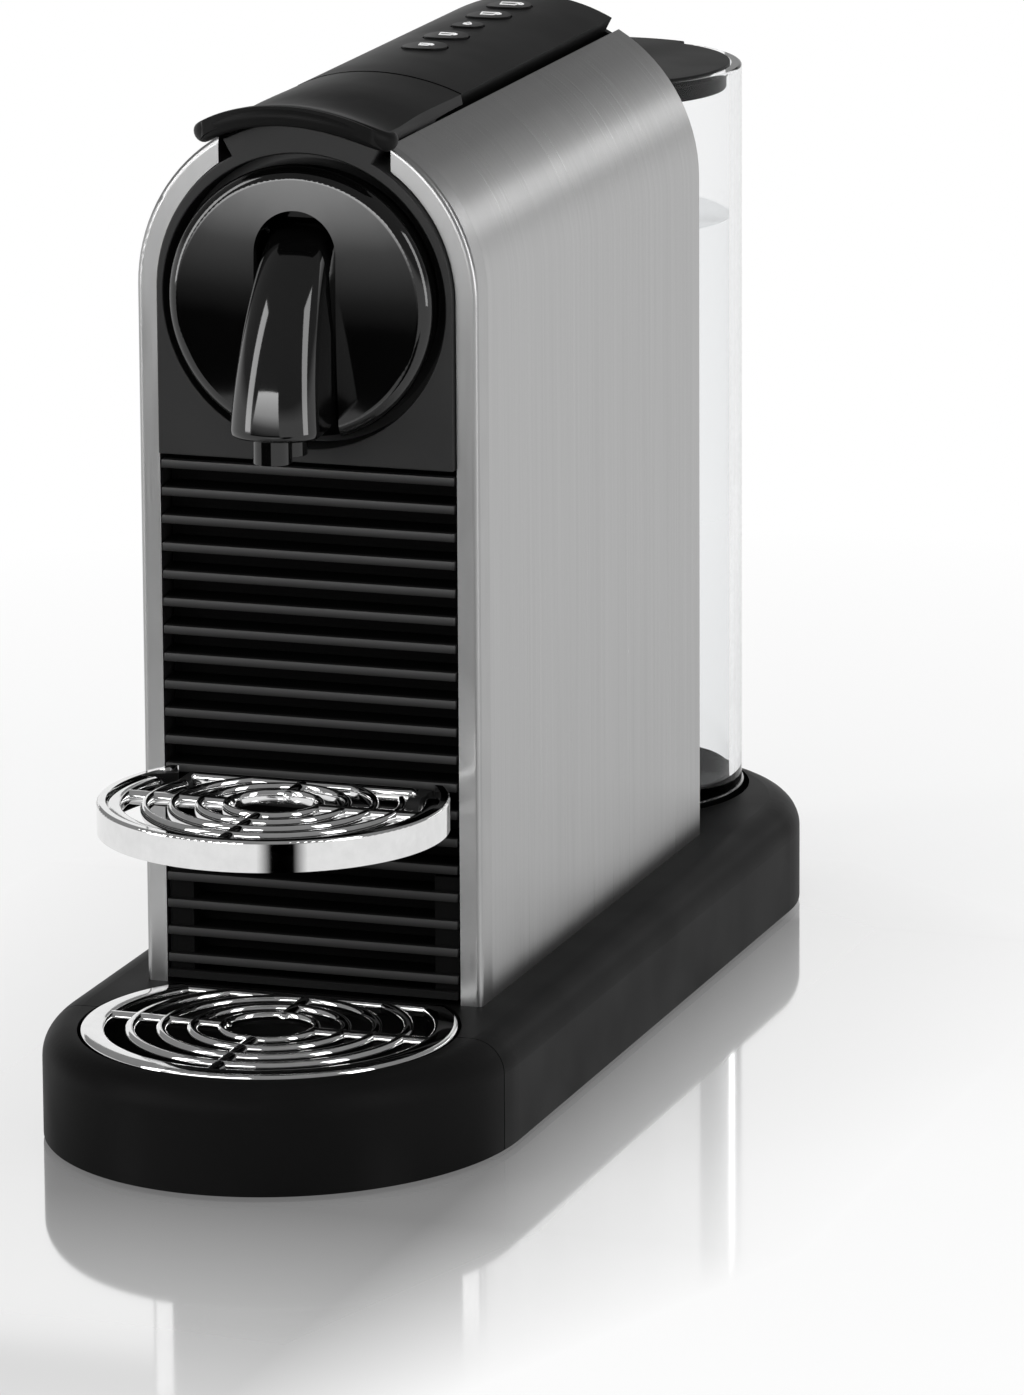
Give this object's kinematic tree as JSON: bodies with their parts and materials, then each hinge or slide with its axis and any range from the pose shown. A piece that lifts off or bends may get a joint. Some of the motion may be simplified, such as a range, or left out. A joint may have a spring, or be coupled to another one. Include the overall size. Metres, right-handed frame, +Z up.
{
  "type": "pod coffee machine",
  "caption": "Slim pod coffee machine with an arched steel body on a long base, lifting lever, spout, fold-up cup support, pull-out drip and pod unit and rear water tank.",
  "frame": {"origin": "on the worktop, at the middle of the footprint", "axes": "+Z up, front of the machine faces -Y, +X to the right as seen from the front"},
  "size_m": [0.13, 0.389, 0.277],
  "materials": {
    "base_plastic": "fine satin texture",
    "underside_plastic": "plain moulded",
    "foot_rubber": "matte",
    "brushed_side": "brushed upwards, satin",
    "front_trim": "satin",
    "cover_plastic": "satin",
    "button_plastic": "satin with pale pictogram",
    "panel_plastic": "satin",
    "gloss_black": "high gloss",
    "chrome": "mirror chrome",
    "tray_plastic": "plain moulded",
    "clear_plastic": "clear",
    "lid_plastic": "satin",
    "machine_steel": "machined",
    "inner_plastic": "plain moulded",
    "heater_casting": "cast",
    "board": "coated",
    "hose_rubber": "matte"
  },
  "bodies": {
    "machine": {"base_shell": "base_plastic", "base_plate": "underside_plastic", "base_screws": "machine_steel", "rubber_feet": "foot_rubber", "cord_gland": "underside_plastic", "tank_coupling": "lid_plastic", "side_panel_left": "brushed_side", "side_panel_right": "brushed_side", "front_trim_left": "front_trim", "front_trim_right": "front_trim", "rear_cover": "cover_plastic", "button_panel": "cover_plastic", "control_board": "board", "tact_switches": "board", "front_panel": "panel_plastic", "brew_head_disc": "gloss_black", "coffee_spout": "gloss_black", "spout_nozzles": "gloss_black", "lever_shaft": "machine_steel", "inner_frame": "machine_steel", "brew_head": "inner_plastic", "guide_rods": "machine_steel", "rod_bracket": "inner_plastic", "thermoblock": "heater_casting", "heater_rods": "machine_steel", "pump": "inner_plastic", "pump_cradle": "inner_plastic", "inlet_hose": "hose_rubber", "feed_hose": "hose_rubber"},
    "lever": {"lever_cover": "cover_plastic", "lever_yoke": "inner_plastic"},
    "carriage": {"brew_carriage": "inner_plastic"},
    "front_unit": {"tray_base": "base_plastic", "tray_feet": "foot_rubber", "drip_tray": "tray_plastic", "pod_bin": "tray_plastic", "louvre_front": "panel_plastic", "hinge_lugs": "panel_plastic"},
    "grid": {"drip_grid": "chrome"},
    "cup_support": {"cup_support_ring": "chrome", "cup_support_grid": "chrome", "cup_support_pins": "chrome"},
    "tank": {"tank_wall": "clear_plastic", "tank_collar": "gloss_black", "tank_valve": "lid_plastic"},
    "lid": {"tank_lid": "lid_plastic"},
    "button_1": {"button_1": "button_plastic"},
    "button_2": {"button_2": "button_plastic"},
    "button_3": {"button_3": "button_plastic"},
    "button_4": {"button_4": "button_plastic"},
    "button_5": {"button_5": "button_plastic"}
  },
  "joints": [
    {"name": "lever_lift", "type": "hinge", "parent": "machine", "child": "lever", "pos_m": [0, -0.066, 0.254], "axis": [-1, 0, 0], "range_deg": [0, 80]},
    {"name": "carriage_slide", "type": "slide", "parent": "machine", "child": "carriage", "axis": [0, 1, 0], "range_m": [0, 0.0185]},
    {"name": "front_unit_pull", "type": "slide", "parent": "machine", "child": "front_unit", "axis": [0, -1, 0], "range_m": [0, 0.13]},
    {"name": "grid_lift", "type": "slide", "parent": "front_unit", "child": "grid", "axis": [0, 0, 1], "range_m": [0, 0.03]},
    {"name": "cup_support_fold", "type": "hinge", "parent": "front_unit", "child": "cup_support", "pos_m": [0, -0.11, 0.0877], "axis": [-1, 0, 0], "range_deg": [0, 88]},
    {"name": "tank_lift", "type": "slide", "parent": "machine", "child": "tank", "axis": [0, 0, 1], "range_m": [0, 0.08]},
    {"name": "lid_lift", "type": "slide", "parent": "tank", "child": "lid", "axis": [0, 0, 1], "range_m": [0, 0.05]},
    {"name": "button_1_press", "type": "slide", "parent": "machine", "child": "button_1", "axis": [0, 0, -1], "range_m": [0, 0.001], "stiffness_N_per_m": 400, "springref_m": -0.0005},
    {"name": "button_2_press", "type": "slide", "parent": "machine", "child": "button_2", "axis": [0, 0, -1], "range_m": [0, 0.001], "stiffness_N_per_m": 400, "springref_m": -0.0005},
    {"name": "button_3_press", "type": "slide", "parent": "machine", "child": "button_3", "axis": [0, 0, -1], "range_m": [0, 0.001], "stiffness_N_per_m": 400, "springref_m": -0.0005},
    {"name": "button_4_press", "type": "slide", "parent": "machine", "child": "button_4", "axis": [0, 0, -1], "range_m": [0, 0.001], "stiffness_N_per_m": 400, "springref_m": -0.0005},
    {"name": "button_5_press", "type": "slide", "parent": "machine", "child": "button_5", "axis": [0, 0, -1], "range_m": [0, 0.001], "stiffness_N_per_m": 400, "springref_m": -0.0005}
  ],
  "couplings": [
    {"joint": "carriage_slide", "follows": "lever_lift", "m_per_rad": 0.012892}
  ]
}
